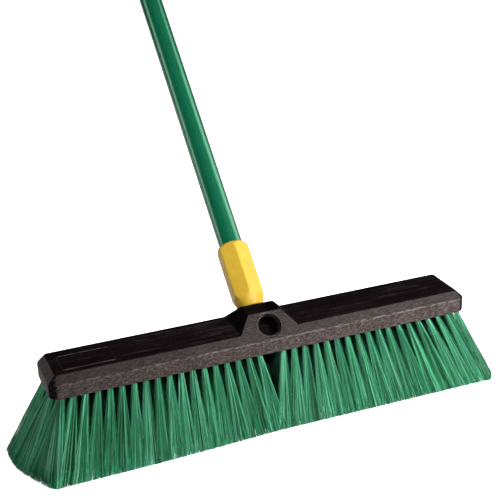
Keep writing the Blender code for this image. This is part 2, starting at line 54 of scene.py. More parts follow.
BOSS_H, BOSS_TOP_HALF_X, BOSS_FOOT_HALF_X = 0.0379, 0.0180, 0.0319
PANEL_HALF, PANEL_AT, PANEL_LINE, PANEL_RISE = (0.0268, 0.0152), (-0.1870, -0.0030), 0.0009, 0.0004
MOUTH_Y = 0.0212
BAND_RUN = (BLOCK_D - TOP_D) / 2 / (BLOCK_H - SIDE_H)
MOUTH_H = SIDE_H + (BLOCK_D / 2 - MOUTH_Y) / BAND_RUN
LEAN = math.atan(1 / BAND_RUN)
MOUTH_X = -0.0010
MOUTH_R, CHAMFER, SOCKET_DEPTH = 0.0139, 0.0011, 0.0145

PITCH, FLANK = 0.00508, 0.00048
TURN_STEPS = 72
SOCKET_MAJOR_R, SOCKET_MINOR_R, SOCKET_CREST = 0.01265, 0.01080, 0.00220
STEM_MAJOR_R, STEM_MINOR_R, STEM_CREST = 0.01230, 0.01045, 0.00160

STEM_TIP, THREAD_TOP, NECK_R = -0.0140, -0.0006, 0.0113
COLLAR_T0, COLLAR_T1, COLLAR_FLOOR = 0.0012, 0.0755, 0.0085
COLLAR_FLAT_R, COLLAR_EDGE_R, COLLAR_TURN = 0.01600, 0.0028, math.radians(-35.5)
SPIGOT_R, SPIGOT_T1 = 0.01165, 0.0480
CORE_R, CORE_T0, CORE_T1 = 0.0030, -0.0105, 0.0470
TUBE_R, TUBE_WALL, TUBE_T0, TUBE_T1 = 0.0127, 0.0007, 0.0088, 1.4920
CAP_T0, CAP_T1, CAP_R, CAP_PLUG_T0 = 1.4710, 1.5100, 0.0144, 1.4770
HANG_HOLE_R, HANG_HOLE_T, CAP_FLAT_X = 0.0035, 1.5010, 0.0092

ROWS, ROW_PITCH, TIP_ROW_PITCH = 5, 0.0135, 0.0174
TUFT_PITCH, FIRST_TUFT, PER_SIDE, GROUP = 0.0121, 0.0135, 18, 6
HOLE_R, HOLE_DEPTH = 0.0032, 0.0120
SWING_LEFT = ((0.0135, 0.0150), (0.0260, 0.0145), (0.0740, 0.0020), (0.1560, -0.0090),
              (0.1920, -0.0180), (0.2192, -0.0240))
SWING_BACK_LEFT = 0.0230
SWING_RIGHT = ((0.0135, -0.0030), (0.0367, 0.0010), (0.0610, 0.0110), (0.1330, 0.0250),
               (0.1690, 0.0340), (0.1930, 0.0420), (0.2192, 0.0440))

scene = bpy.context.scene


# ---------------------------------------------------------------- mesh helpers
def new_object(name, bm, mat=None, smooth_deg=None):
    bmesh.ops.recalc_face_normals(bm, faces=bm.faces)
    mesh = bpy.data.meshes.new(name)
    bm.to_mesh(mesh)
    bm.free()
    ob = bpy.data.objects.new(name, mesh)
    scene.collection.objects.link(ob)
    if mat:
        mesh.materials.append(mat)
    if smooth_deg:
        mesh.shade_smooth()
        mesh.set_sharp_from_angle(angle=math.radians(smooth_deg))
    return ob


def bake_modifiers(ob):
    """Swaps the object's mesh for its evaluated one and clears the modifiers."""
    graph = bpy.context.evaluated_depsgraph_get()
    graph.update()
    mesh = bpy.data.meshes.new_from_object(ob.evaluated_get(graph))
    ob.modifiers.clear()
    old = ob.data
    ob.data = mesh
    mesh.name = ob.name
    bpy.data.meshes.remove(old)
    return ob


def combine(target, other, operation):
    mod = target.modifiers.new(operation.lower(), "BOOLEAN")
    mod.operation = operation
    mod.solver = "EXACT"
    mod.object = other
    bake_modifiers(target)
    bpy.data.objects.remove(other, do_unlink=True)
    return target


def tidy(ob, dist=0.000002):
    bm = bmesh.new()
    bm.from_mesh(ob.data)
    bmesh.ops.remove_doubles(bm, verts=bm.verts, dist=dist)
    bmesh.ops.dissolve_degenerate(bm, edges=bm.edges, dist=dist)
    bmesh.ops.triangulate(bm, faces=[f for f in bm.faces if len(f.verts) > 4])
    bm.to_mesh(ob.data)
    bm.free()
    return ob


def finish_mesh(ob, mat, smooth_deg, weighted=False):
    ob.data.materials.clear()
    ob.data.materials.append(mat)
    for poly in ob.data.polygons:
        poly.material_index = 0
    ob.data.shade_smooth()
    ob.data.set_sharp_from_angle(angle=math.radians(smooth_deg))
    if weighted:
        mod = ob.modifiers.new("weighted", "WEIGHTED_NORMAL")
        mod.keep_sharp = True
        mod.weight = 90
    return ob


def rounded_rect(half_x, half_y, radius, z, steps):
    points = []
    for k, (sx, sy) in enumerate(((1, 1), (-1, 1), (-1, -1), (1, -1))):
        for i in range(steps + 1):
            a = math.radians(90 * k + 90 * i / steps)
            points.append(Vector((sx * (half_x - radius) + radius * math.cos(a),
                                  sy * (half_y - radius) + radius * math.sin(a), z)))
    return points


def lathe(profile, steps, phase=0.0):
    bm = bmesh.new()
    closed = profile[0][0] > 0
    columns = []
    for r, t in profile:
        if r <= 0:
            columns.append([bm.verts.new((0.0, 0.0, t))])
        else:
            columns.append([bm.verts.new((r * math.cos(2 * math.pi * (k + phase) / steps),
                                          r * math.sin(2 * math.pi * (k + phase) / steps), t))
                            for k in range(steps)])
    pairs = list(zip(columns, columns[1:]))
    if closed:
        pairs.append((columns[-1], columns[0]))
    for a, b in pairs:
        for k in range(steps):
            m = (k + 1) % steps
            if len(a) == 1:
                bm.faces.new((a[0], b[k], b[m]))
            elif len(b) == 1:
                bm.faces.new((a[k], a[m], b[0]))
            else:
                bm.faces.new((a[k], a[m], b[m], b[k]))
    return bm


def soften(profile, radius, steps=4):
    """Rounds the inner corners of an open (radius, height) profile."""
    out = [profile[0]]
    for a, b, c in zip(profile, profile[1:], profile[2:]):
        pa, pb, pc = Vector(a), Vector(b), Vector(c)
        da, dc = pa - pb, pc - pb
        cut = min(radius, da.length * 0.45, dc.length * 0.45)
        if da.length < 1e-9 or dc.length < 1e-9 or abs(da.normalized().dot(dc.normalized())) > 0.999:
            out.append(b)
            continue
        p0, p2 = pb + da.normalized() * cut, pb + dc.normalized() * cut
        for i in range(steps + 1):
            f = i / steps
            q = p0 * (1 - f) ** 2 + pb * 2 * f * (1 - f) + p2 * f * f
            out.append((q.x, q.y))
    out.append(profile[-1])
    return out


def screw_body(major, minor, crest, low, high):
    """A threaded bar along Z: a helical strip of one profile per pitch, closed at each end."""
    root = PITCH - crest - 2 * FLANK
    profile = ((minor, 0.0), (minor, root), (major, root + FLANK), (major, root + FLANK + crest))
    turns = math.ceil((high - low) / PITCH) + 3
    start = (math.floor(low / PITCH) - 1) * PITCH
    bm = bmesh.new()
    count = turns * TURN_STEPS
    grid = []
    for j in range(count + 1):
        a = 2 * math.pi * (j % TURN_STEPS) / TURN_STEPS
        lift = start + PITCH * j / TURN_STEPS
        grid.append([bm.verts.new((r * math.cos(a), r * math.sin(a), lift + t))
                     for r, t in profile])
    for j in range(count):
        a, b = grid[j], grid[j + 1]
        for i in range(len(profile) - 1):
            bm.faces.new((a[i], b[i], b[i + 1], a[i + 1]))
        if j + TURN_STEPS + 1 <= count:
            c, d = grid[j + TURN_STEPS], grid[j + TURN_STEPS + 1]
            bm.faces.new((a[-1], b[-1], d[0], c[0]))
    bm.edges.ensure_lookup_table()
    loops = [e for e in bm.edges if e.is_boundary]
    half = start + 0.5 * PITCH * count / TURN_STEPS
    bottom = bm.verts.new((0.0, 0.0, start - 0.0005))
    top = bm.verts.new((0.0, 0.0, start + PITCH * (count / TURN_STEPS + 1) + 0.0005))
    for e in loops:
        middle = sum((v.co.z for v in e.verts), 0.0) / 2
        tip = bottom if middle < half else top
        bm.faces.new((e.verts[0], e.verts[1], tip))
    return bm


def on_axis(ob, side=1):
    """Stands a mesh modelled along Z on a socket's axis: side 1 the rear, -1 the front."""
    x = MOUTH_X if side > 0 else 0.0
    place = (Matrix.Translation(Vector((x, side * MOUTH_Y, TRIM + MOUTH_H)))
             @ Matrix.Rotation(-side * LEAN, 4, "X"))
    ob.data.transform(place)
    return ob


# ---------------------------------------------------------------- node helpers
class Nodes:
    """Short-hand for building a material's node tree."""

    def __init__(self, name):
        self.mat = bpy.data.materials.new(name)
        self.mat.use_nodes = True
        self.tree = self.mat.node_tree
        self.shader = self.tree.nodes["Principled BSDF"]
        self.output = self.tree.nodes["Material Output"]

    def add(self, kind, **settings):
        node = self.tree.nodes.new(kind)
        for key, value in settings.items():
            setattr(node, key, value)
        return node

    def link(self, a, b):
        self.tree.links.new(a, b)

    def coords(self, scale=(1, 1, 1), kind="Object", turn=(0, 0, 0)):
        source = self.add("ShaderNodeTexCoord")
        mapping = self.add("ShaderNodeMapping")
        mapping.inputs["Scale"].default_value = scale
        mapping.inputs["Rotation"].default_value = turn
        self.link(source.outputs[kind], mapping.inputs["Vector"])
        return mapping.outputs["Vector"]

    def noise(self, vector, scale, detail=3.0, rough=0.55, distort=0.0):
        node = self.add("ShaderNodeTexNoise")
        node.inputs["Scale"].default_value = scale
        node.inputs["Detail"].default_value = detail
        node.inputs["Roughness"].default_value = rough
        node.inputs["Distortion"].default_value = distort
        self.link(vector, node.inputs["Vector"])
        return node.outputs["Fac"]

    def math(self, op, a, b=None, c=None, clamp=False):
        node = self.add("ShaderNodeMath", operation=op, use_clamp=clamp)
        for i, value in enumerate((a, b, c)):
            if value is None:
                continue
            if isinstance(value, (int, float)):
                node.inputs[i].default_value = value
            else:
                self.link(value, node.inputs[i])
        return node.outputs["Value"]

    def span(self, value, a, b, c=0.0, d=1.0):
        """Maps a..b onto c..d, clamped, smoothly."""
        node = self.add("ShaderNodeMapRange", interpolation_type="SMOOTHSTEP")
        self.link(value, node.inputs["Value"])
        for key, v in (("From Min", a), ("From Max", b), ("To Min", c), ("To Max", d)):
            node.inputs[key].default_value = v
        return node.outputs["Result"]

    def ramp(self, value, stops, mode="LINEAR"):
        node = self.add("ShaderNodeValToRGB")
        node.color_ramp.interpolation = mode
        elements = node.color_ramp.elements
        while len(elements) < len(stops):
            elements.new(0.5)
        for element, (at, colour) in zip(elements, stops):
            element.position = at
        for element, (at, colour) in zip(elements, stops):
            element.position = at
            element.color = (*colour, 1.0)
        self.link(value, node.inputs["Fac"])
        return node.outputs["Color"]

    def mix(self, factor, a, b, mode="MIX"):
        node = self.add("ShaderNodeMix", data_type="RGBA", blend_type=mode)
        for socket, value in (("Factor", factor), ("A", a), ("B", b)):
            target = [s for s in node.inputs if s.name == socket and
                      (s.type == "RGBA" if socket != "Factor" else s.type == "VALUE")][0]
            if isinstance(value, (int, float)):
                target.default_value = value
            elif isinstance(value, tuple):
                target.default_value = (*value, 1.0)
            else:
                self.link(value, target)
        return [s for s in node.outputs if s.type == "RGBA"][0]

    def bump(self, height, strength, distance, normal=None):
        node = self.add("ShaderNodeBump")
        if isinstance(strength, (int, float)):
            node.inputs["Strength"].default_value = strength
        else:
            self.link(strength, node.inputs["Strength"])
        node.inputs["Distance"].default_value = distance
        self.link(height, node.inputs["Height"])
        if normal is not None:
            self.link(normal, node.inputs["Normal"])
        return node.outputs["Normal"]

    def edge(self, radius, gain):
        """1 on edges sharper than the radius, 0 on flat faces."""
        bevel = self.add("ShaderNodeBevel", samples=6)
        bevel.inputs["Radius"].default_value = radius
        geometry = self.add("ShaderNodeNewGeometry")
        dot = self.add("ShaderNodeVectorMath", operation="DOT_PRODUCT")
        self.link(bevel.outputs["Normal"], dot.inputs[0])
        self.link(geometry.outputs["Normal"], dot.inputs[1])
        return self.math("MULTIPLY", self.math("SUBTRACT", 1.0, dot.outputs["Value"]), gain, clamp=True)

    def set(self, **values):
        for key, value in values.items():
            socket = self.shader.inputs[key.replace("_", " ")]
            if isinstance(value, (int, float)):
                socket.default_value = value
            elif isinstance(value, tuple):
                socket.default_value = (*value, 1.0)
            else:
                self.link(value, socket)
        return self.mat


# ---------------------------------------------------------------- materials
def block_material():
    """Black moulded block. The top, the boss's slopes and the corners are dark, the boss painted darker
    still as painted shade; the front, its sloped band and the ends are a grainy brown-grey with faint
    lines along the block, partly dusty scuffs and partly painted reflection, the band darkened by
    painted shade and all of it brightened towards +X by painted light."""
    n = Nodes("block_black")
    flat = n.coords()
    streak = n.noise(n.coords((5.0, 110.0, 110.0)), 3.0, 4.0, 0.65)
    grain = n.noise(flat, 760.0, 3.0, 0.70)
    lines = n.noise(n.coords((170.0, 900.0, 900.0)), 1.0, 3.0, 0.65)
    blotch = n.noise(flat, 55.0, 4.0, 0.6)
    base = n.ramp(streak, ((0.38, (0.0022, 0.0014, 0.0019)), (0.58, (0.0070, 0.0048, 0.0055)),
                           (0.70, (0.0300, 0.0230, 0.0235))))
    base = n.mix(1.0, base, n.ramp(grain, ((0.40, (0.32, 0.32, 0.32)), (0.60, (1.7, 1.6, 1.6)))), "MULTIPLY")
    geometry = n.add("ShaderNodeNewGeometry")
    facing = n.add("ShaderNodeSeparateXYZ")
    n.link(geometry.outputs["Normal"], facing.inputs["Vector"])
    place = n.add("ShaderNodeSeparateXYZ")
    n.link(n.coords(), place.inputs["Vector"])
    # painted shade: the boss under the collar is painted darker, so its top is the darkest face
    boss = n.span(place.outputs["Z"], TRIM + BLOCK_H + 0.0004, TRIM + BLOCK_H + 0.0016)
    base = n.mix(boss, base, n.mix(1.0, base, (0.40, 0.36, 0.42), "MULTIPLY"))
    nx = n.math("ABSOLUTE", facing.outputs["X"])
    ny = n.math("ABSOLUTE", facing.outputs["Y"])
    front = n.math("MULTIPLY", n.span(ny, 0.50, 0.68), n.span(nx, 0.50, 0.12))
    ends = n.math("MULTIPLY", n.span(nx, 0.55, 0.75), n.span(ny, 0.50, 0.12))
    ends = n.math("MULTIPLY", ends, n.span(n.math("ABSOLUTE", place.outputs["X"]), 0.205, 0.212))
    scuffed = n.math("MAXIMUM", front, ends)
    sloped = n.math("MULTIPLY", n.span(ny, 0.93, 0.80, 0.0, 1.0), front)
    # nothing is scuffed inside the sockets: depth below the face's plane, near the boss's middle
    depth = n.math("ADD", n.math("MULTIPLY", n.math("ABSOLUTE", place.outputs["Y"]), math.sin(LEAN)),
                   n.math("MULTIPLY", place.outputs["Z"], math.cos(LEAN)))
    plane = MOUTH_Y * math.sin(LEAN) + (TRIM + MOUTH_H) * math.cos(LEAN)
    inside = n.math("MULTIPLY", n.span(depth, plane - 0.0008, plane - 0.0014),
                    n.span(n.math("ABSOLUTE", place.outputs["X"]), 0.0150, 0.0142))
    inside = n.math("MULTIPLY", inside, n.span(place.outputs["Z"], TRIM + 0.0035, TRIM + 0.0040))
    inside = n.math("MULTIPLY", inside, n.span(facing.outputs["Z"], 0.95, 0.90))
    side_face = n.span(ny, 0.93, 0.98)
    inside = n.math("MULTIPLY", inside, n.math("SUBTRACT", 1.0, n.math("MULTIPLY", side_face,
                    n.span(n.math("ABSOLUTE", place.outputs["Y"]), 0.0316, 0.0320))))
    scuffed = n.math("MULTIPLY", scuffed, n.math("SUBTRACT", 1.0, inside))
    mottle = n.math("ADD", n.math("MULTIPLY", grain, 0.43), n.math("MULTIPLY", lines, 0.46))
    mottle = n.math("ADD", mottle, n.math("MULTIPLY", blotch, 0.11))
    # the front, band and ends get a brown-grey far above the black top: partly dusty scuffs, partly a painted
    # reflection of the bright floor
    dust_and_painted_reflection = n.ramp(mottle, ((0.428, (0.0150, 0.0104, 0.0096)), (0.50, (0.0490, 0.0355, 0.0328)),
                           (0.572, (0.1200, 0.0920, 0.0865))))
    # painted shade: the sloped band is painted darker than the front face
    dust_and_painted_reflection = n.mix(sloped, dust_and_painted_reflection, n.mix(1.0, dust_and_painted_reflection, (0.38, 0.335, 0.32), "MULTIPLY"))
    # painted light: the front and ends are painted brighter towards +X, where the key light stands
    painted_key_light = n.span(place.outputs["X"], -0.23, 0.23, 0.0, 1.0)
    dust_and_painted_reflection = n.mix(1.0, dust_and_painted_reflection, n.mix(painted_key_light, (0.62, 0.61, 0.61), (1.02, 1.0, 1.0)), "MULTIPLY")
    colour = n.mix(scuffed, base, dust_and_painted_reflection)
    # painted highlight: the first thread ridges just inside the front mouth are painted pale, most towards -X
    painted_thread_glint = n.math("MULTIPLY", inside, n.span(depth, plane - 0.0052, plane - 0.0016))
    painted_thread_glint = n.math("MULTIPLY", painted_thread_glint, n.span(grain, 0.40, 0.62, 0.30, 0.85))
    painted_thread_glint = n.math("MULTIPLY", painted_thread_glint, n.span(place.outputs["X"], MOUTH_X + 0.002, MOUTH_X - 0.004, 0.08, 1.0))
    colour = n.mix(painted_thread_glint, colour, (0.105, 0.088, 0.084))
    edge = n.edge(0.0013, 7.0)
    worn = n.math("MULTIPLY", edge, n.span(mottle, 0.40, 0.60, 0.15, 0.9))
    worn = n.math("MULTIPLY", worn, n.span(scuffed, 0.2, 0.8, 0.10, 0.9))
    worn = n.math("MULTIPLY", worn, n.math("SUBTRACT", 1.0, inside))
    colour = n.mix(worn, colour, (0.190, 0.160, 0.154))
    # painted highlight: a pale line where the sloped band meets the side, brighter towards +X
    painted_ridge_highlight = n.math("ABSOLUTE", n.math("SUBTRACT", place.outputs["Z"], TRIM + SIDE_H))
    painted_ridge_highlight = n.math("MULTIPLY", n.span(painted_ridge_highlight, 0.0013, 0.0004), scuffed)
    painted_ridge_highlight = n.math("MULTIPLY", painted_ridge_highlight, n.span(lines, 0.42, 0.60, 0.0, 0.60))
    painted_ridge_highlight = n.math("MULTIPLY", painted_ridge_highlight, n.mix(painted_key_light, (0.45, 0.45, 0.45), (1.0, 1.0, 1.0)))
    colour = n.mix(painted_ridge_highlight, colour, (0.200, 0.168, 0.160))
    rough = n.math("ADD", n.math("MULTIPLY", grain, 0.20), n.math("MULTIPLY", scuffed, 0.10))
    rough = n.math("ADD", rough, 0.42)
    rough = n.math("MAXIMUM", rough, n.math("MULTIPLY", inside, 0.90))
    shine = n.span(scuffed, 0.1, 0.9, 0.010, 0.22)
    normal = n.bump(lines, n.span(scuffed, 0.1, 0.9, 0.10, 0.25), 0.0004)
    normal = n.bump(grain, n.span(scuffed, 0.1, 0.9, 0.12, 0.60), 0.00040, normal)
    return n.set(Base_Color=colour, Roughness=rough, Specular_IOR_Level=shine, Normal=normal)


def bristle_material():
    """Polypropylene filament. In the UV layer, u names a filament's tone and v runs root to tip."""
    n = Nodes("bristle_green")
    uv = n.add("ShaderNodeUVMap", uv_map="OFBake")
    split = n.add("ShaderNodeSeparateXYZ")
    n.link(uv.outputs["UV"], split.inputs["Vector"])
    tone = n.math("DIVIDE", n.math("FLOOR", n.math("MULTIPLY", split.outputs["X"], 16.0)), 15.0)
    along = split.outputs["Y"]
    tint = n.ramp(tone, ((0.0, (0.002, 0.026, 0.010)), (0.28, (0.009, 0.125, 0.052)),
                         (0.60, (0.034, 0.305, 0.142)), (1.0, (0.180, 0.600, 0.370))))
    streaks = n.noise(n.coords((60.0, 3.0, 1.0), "UV"), 6.0, 3.0, 0.6)
    tint = n.mix(n.math("MULTIPLY", streaks, 0.25), tint, (0.060, 0.360, 0.180))
    # painted shade deep in the holes, then a painted highlight just under the block with a paler dusty tint
    root_painted_light = n.ramp(along, ((0.0, (0.75, 0.75, 0.75)), (0.10, (1.25, 1.12, 1.20)),
                          (0.36, (1.0, 1.0, 1.0)), (1.0, (0.98, 1.0, 0.98))))
    colour = n.mix(1.0, tint, root_painted_light, "MULTIPLY")
    # painted shade: the roots of the inner rows, in the block's shadow, are painted darker
    place = n.add("ShaderNodeSeparateXYZ")
    n.link(n.coords(), place.inputs["Vector"])
    inner = n.math("MULTIPLY", n.span(n.math("ABSOLUTE", place.outputs["Y"]), 0.0235, 0.0195),
                   n.span(place.outputs["Z"], 0.040, 0.078))
    inner = n.math("MULTIPLY", inner, n.span(n.math("ABSOLUTE", place.outputs["X"]), 0.222, 0.210))
    # and painted shade on the ones beside the middle gap, further down
    gap = n.math("MULTIPLY", n.span(n.math("ABSOLUTE", place.outputs["Y"]), 0.0235, 0.0195),
                 n.span(place.outputs["Z"], 0.018, 0.050))
    gap = n.math("MULTIPLY", gap, n.span(n.math("ABSOLUTE", place.outputs["X"]), 0.034, 0.020))
    inner = n.math("MAXIMUM", inner, gap)
    colour = n.mix(n.math("MULTIPLY", inner, 0.84), colour, (0.003, 0.016, 0.008))
    # painted light: the filaments are painted brighter towards +X, where the key light stands
    painted_light_falloff = n.mix(n.span(place.outputs["X"], -0.17, 0.25), (0.88, 0.88, 0.88), (1.14, 1.14, 1.14))
    colour = n.mix(1.0, colour, painted_light_falloff, "MULTIPLY")
    rough = n.span(streaks, 0.2, 0.8, 0.28, 0.44)
    normal = n.bump(streaks, 0.15, 0.0001)
    return n.set(Base_Color=colour, Roughness=rough, Specular_IOR_Level=0.5, Normal=normal)


def tube_material():
    """Glossy green enamel with a faint orange peel and long rub marks."""
    n = Nodes("tube_green")
    turn = (LEAN, 0.0, 0.0)
    flat = n.coords()
    cloud = n.noise(flat, 35.0, 3.0, 0.5)
    colour = n.ramp(cloud, ((0.30, (0.0008, 0.0860, 0.0385)), (0.70, (0.0014, 0.1010, 0.0450))))
    rub = n.noise(n.coords((220.0, 220.0, 2.5), turn=turn), 1.0, 3.0, 0.6)
    colour = n.mix(n.span(rub, 0.60, 0.80, 0.0, 0.22), colour, (0.030, 0.200, 0.105))
    peel = n.noise(flat, 520.0, 2.0, 0.5)
    rough = n.math("ADD", n.math("MULTIPLY", rub, 0.10), 0.20)
    normal = n.bump(peel, 0.025, 0.0003)
    return n.set(Base_Color=colour, Roughness=rough, Specular_IOR_Level=1.0, Normal=normal,
                 Specular_Tint=(0.42, 1.0, 0.66))


def collar_material(name="collar_yellow", shade=1.0):
    """Yellow moulded plastic: slight speckle, mould texture and scuffed edges."""
    n = Nodes(name)
    flat = n.coords()
    cloud = n.noise(flat, 70.0, 4.0, 0.6)
    speck = n.noise(flat, 1100.0, 2.0, 0.6)
    colour = n.ramp(cloud, ((0.30, (0.538 * shade, 0.330 * shade, 0.025 * shade)),
                            (0.70, (0.618 * shade, 0.406 * shade, 0.040 * shade))))
    colour = n.mix(n.span(speck, 0.56, 0.70, 0.0, 0.55), colour,
                   (0.44 * shade, 0.24 * shade, 0.015 * shade))
    edge = n.edge(0.0010, 5.0)
    colour = n.mix(n.math("MULTIPLY", edge, n.span(cloud, 0.35, 0.7, 0.1, 0.5)), colour,
                   (0.80, 0.64, 0.16))
    rough = n.math("ADD", n.math("MULTIPLY", speck, 0.18), 0.33)
    normal = n.bump(speck, 0.16, 0.00022)
    normal = n.bump(cloud, 0.10, 0.0006, normal)
    return n.set(Base_Color=colour, Roughness=rough, Specular_IOR_Level=0.34, Normal=normal)


def steel_material():
    """Drawn steel pin: fine lines around it, slight staining."""
    n = Nodes("core_steel")
    flat = n.coords()
    lines = n.noise(n.coords((90.0, 90.0, 2400.0), turn=(LEAN, 0.0, 0.0)), 1.0, 2.0, 0.5)
    stain = n.noise(flat, 120.0, 4.0, 0.6)
    colour = n.ramp(stain, ((0.3, (0.46, 0.46, 0.48)), (0.7, (0.60, 0.60, 0.62))))
    rough = n.math("ADD", n.math("MULTIPLY", lines, 0.25), 0.22)
    return n.set(Base_Color=colour, Metallic=1.0, Roughness=rough,
                 Normal=n.bump(lines, 0.2, 0.0001))


def cap_material():
    """Dark green moulded cap."""
    n = Nodes("cap_green")
    flat = n.coords()
    cloud = n.noise(flat, 80.0, 4.0, 0.6)
    grain = n.noise(flat, 1000.0, 2.0, 0.6)
    colour = n.ramp(cloud, ((0.3, (0.0042, 0.078, 0.036)), (0.7, (0.0080, 0.112, 0.052))))
    edge = n.edge(0.0010, 5.0)
    colour = n.mix(n.math("MULTIPLY", edge, 0.5), colour, (0.035, 0.190, 0.105))
    rough = n.math("ADD", n.math("MULTIPLY", grain, 0.15), 0.34)
    return n.set(Base_Color=colour, Roughness=rough, Normal=n.bump(grain, 0.22, 0.00025))


# ---------------------------------------------------------------- tuft layout
def swing(table, x):
    if x <= table[0][0]:
        return table[0][1]
    for (x0, s0), (x1, s1) in zip(table, table[1:]):
        if x <= x1:
            return s0 + (s1 - s0) * (x - x0) / (x1 - x0)
    return table[-1][1]


def tuft_roots(row):
    first = FIRST_TUFT if row % 2 == 0 else FIRST_TUFT + TUFT_PITCH / 2
    count = PER_SIDE if row % 2 == 0 else PER_SIDE - 1
    return [first + TUFT_PITCH * i for i in range(count)]


def root_of(row, x):
    return Vector((x, (row - (ROWS - 1) / 2) * ROW_PITCH, TRIM))


def tip_of(row, x):
    back = row / (ROWS - 1)
    y = (row - (ROWS - 1) / 2) * TIP_ROW_PITCH
    if x < 0:
        outward = max(0.0, (-x - 0.120) / 0.100)
        return Vector((x + swing(SWING_LEFT, -x) - SWING_BACK_LEFT * back * outward, y, 0.0))
    return Vector((x + swing(SWING_RIGHT, x), y, 0.0))


def at_height(row, x, z):
    root, tip = root_of(row, x), tip_of(row, x)
    return root.lerp(tip, (TRIM - z) / TRIM)


# ---------------------------------------------------------------- block
def block_body(steps):
    hx, hy = BLOCK_L / 2, BLOCK_D / 2
    tx, ty = hx - END_INSET, TOP_D / 2
    slope = (hy - ty) / (BLOCK_H - SIDE_H)
    boss_y = hy - slope * (BOSS_H - SIDE_H)
    bm = bmesh.new()
    rings = [
        rounded_rect(hx, hy, CORNER_R, TRIM, steps),
        rounded_rect(hx, hy, CORNER_R, TRIM + SIDE_H, steps),
        rounded_rect(tx, ty, TOP_CORNER_R, TRIM + BLOCK_H, steps),
    ]
    shift = Vector((BLOCK_X, 0.0, 0.0))
    loops = [[bm.verts.new(p + shift) for p in ring] for ring in rings]
    n = len(loops[0])
    per = steps + 1
    front_gap = (3 * per - 1, 3 * per)
    back_gap = (per - 1, per)
    for level, (lower, upper) in enumerate(zip(loops, loops[1:])):
        for i in range(n):
            j = (i + 1) % n
            if level == 1 and (i, j) in (front_gap, back_gap):
                continue
            bm.faces.new((lower[i], lower[j], upper[j], upper[i]))
    bm.faces.new(list(reversed(loops[0])))
    top, ridge = loops[2], loops[1]
    z1, z2 = TRIM + BLOCK_H, TRIM + BOSS_H
    foot = {(sx, sy): bm.verts.new((sx * BOSS_FOOT_HALF_X, sy * ty, z1))
            for sx in (-1, 1) for sy in (-1, 1)}
    peak = {(sx, sy): bm.verts.new((sx * BOSS_TOP_HALF_X, sy * boss_y, z2))
            for sx in (-1, 1) for sy in (-1, 1)}
    a, b = front_gap
    bm.faces.new((ridge[a], ridge[b], top[b], foot[1, -1], peak[1, -1], peak[-1, -1],
                  foot[-1, -1], top[a]))
    a, b = back_gap
    bm.faces.new((ridge[a], ridge[b], top[b], foot[-1, 1], peak[-1, 1], peak[1, 1],
                  foot[1, 1], top[a]))
    left = [top[i] for i in range(per, 3 * per)]
    right = [top[i] for i in list(range(3 * per, n)) + list(range(0, per))]
    bm.faces.new(left + [foot[-1, -1], foot[-1, 1]])
    bm.faces.new(right + [foot[1, 1], foot[1, -1]])
    for sx in (-1, 1):
        bm.faces.new((foot[sx, -1], foot[sx, 1], peak[sx, 1], peak[sx, -1]))
    bm.faces.new((peak[-1, -1], peak[1, -1], peak[1, 1], peak[-1, 1]))
    return bm


def panel_outline():
    """Raised outline of the plain panel, its section a low rounded bead."""
    z0, z1 = TRIM + BLOCK_H - 0.0010, TRIM + BLOCK_H + PANEL_RISE
    bm = bmesh.new()
    rings = []
    for grow, z in ((0.0, z0), (0.0, z1 - 0.00015), (-0.0002, z1), (-PANEL_LINE + 0.0002, z1),
                    (-PANEL_LINE, z1 - 0.00015), (-PANEL_LINE, z0)):
        ring = rounded_rect(PANEL_HALF[0] + grow, PANEL_HALF[1] + grow, 0.0012 + grow * 0.9, z, 3)
        rings.append([bm.verts.new(p + Vector((PANEL_AT[0], PANEL_AT[1], 0))) for p in ring])
    for a, b in zip(rings, rings[1:] + rings[:1]):
        for i in range(len(a)):
            j = (i + 1) % len(a)
            bm.faces.new((a[i], a[j], b[j], b[i]))
    return bm


def socket_cutter(side):
    bar = new_object("bar", screw_body(SOCKET_MAJOR_R, SOCKET_MINOR_R, SOCKET_CREST,
                                       -SOCKET_DEPTH, 0.012))
    trim = new_object("trim", lathe(((0.0, -SOCKET_DEPTH), (0.02, -SOCKET_DEPTH),
                                     (0.02, 0.010), (0.0, 0.010)), 24, 0.37))
    combine(bar, trim, "INTERSECT")
    tidy(bar)
    mouth = new_object("mouth", lathe(((0.0, -CHAMFER), (MOUTH_R - CHAMFER, -CHAMFER),
                                       (MOUTH_R + 0.003, 0.003), (0.0, 0.003)), 96, 0.37))
    combine(bar, mouth, "UNION")
    tidy(bar)
    return on_axis(bar, side)


def hole_cutters(sides):
    bm = bmesh.new()
    for row in range(ROWS):
        for side in (-1, 1):
            for x in tuft_roots(row):
                rings = []
                for z, r in ((TRIM - 0.003, HOLE_R + 0.0004), (TRIM + 0.0004, HOLE_R),
                             (TRIM + HOLE_DEPTH, HOLE_R)):
                    centre = at_height(row, side * x, z)
                    rings.append([bm.verts.new(centre + Vector((r * math.cos(2 * math.pi * k / sides),
                                                                r * math.sin(2 * math.pi * k / sides), 0)))
                                  for k in range(sides)])
                for a, b in zip(rings, rings[1:]):
                    for i in range(sides):
                        j = (i + 1) % sides
                        bm.faces.new((a[i], a[j], b[j], b[i]))
                bm.faces.new(list(reversed(rings[0])))
                bm.faces.new(rings[-1])
    return bm


def make_block(mat):
    block = new_object("block_shell", block_body(12))
    bevel = block.modifiers.new("bevel", "BEVEL")
    bevel.width = 0.0009
    bevel.segments = 3
    bevel.limit_method = "ANGLE"
    bevel.angle_limit = math.radians(24)
    bake_modifiers(block)
    tidy(block)
    combine(block, new_object("outline", panel_outline()), "UNION")
    for side in (-1, 1):
        combine(block, socket_cutter(side), "DIFFERENCE")
    combine(block, new_object("holes", hole_cutters(12)), "DIFFERENCE")
    tidy(block)
    return finish_mesh(block, mat, 34, weighted=True)


